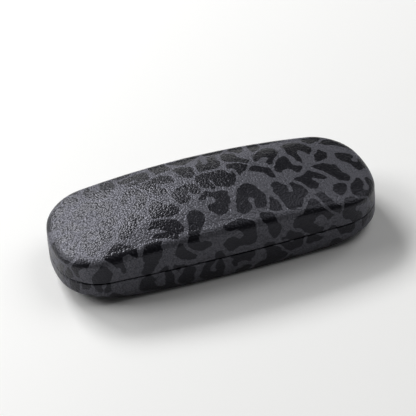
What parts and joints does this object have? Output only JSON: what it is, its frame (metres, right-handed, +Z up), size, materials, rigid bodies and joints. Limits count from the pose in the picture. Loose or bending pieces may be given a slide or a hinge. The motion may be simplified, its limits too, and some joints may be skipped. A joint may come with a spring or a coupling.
{
  "type": "eyeglasses case",
  "caption": "Hard clamshell spectacle case in dark animal-print leather, with a domed lid hinged along the back and a soft lined hollow.",
  "frame": {"origin": "centre of the flat face under the base, which the closed case rests on", "axes": "+X along the case, +Z up through the lid, and the hinge at the +Y side"},
  "size_m": [0.16, 0.0659, 0.0345],
  "materials": {
    "print_leather": "satin pebble-grain leather with a tone-on-tone animal print",
    "pressed_steel": "plain pressed sheet, hidden under the leather",
    "hinge_steel": "bright plated",
    "spring_steel": "tempered strip",
    "rivet_brass": "plain",
    "flocked_lining": "short flock on foam"
  },
  "bodies": {
    "base": {"base_cover": "print_leather", "base_shell": "pressed_steel", "base_lining": "flocked_lining", "base_hinge_leaf": "hinge_steel", "hinge_pin": "hinge_steel", "base_rivet_1": "rivet_brass", "base_rivet_2": "rivet_brass", "base_rivet_3": "rivet_brass", "base_rivet_4": "rivet_brass", "hinge_strip": "flocked_lining", "snap_spring": "spring_steel"},
    "lid": {"lid_cover": "print_leather", "lid_shell": "pressed_steel", "lid_lining": "flocked_lining", "lid_hinge_leaf": "hinge_steel", "lid_rivet_1": "rivet_brass", "lid_rivet_2": "rivet_brass", "lid_rivet_3": "rivet_brass", "lid_rivet_4": "rivet_brass"}
  },
  "joints": [
    {"name": "lid_hinge", "type": "hinge", "parent": "base", "child": "lid", "pos_m": [0, 0.03315, 0.013], "axis": [-1, 0, 0], "range_deg": [0, 105], "deforming": ["hinge_strip", "snap_spring"]}
  ]
}
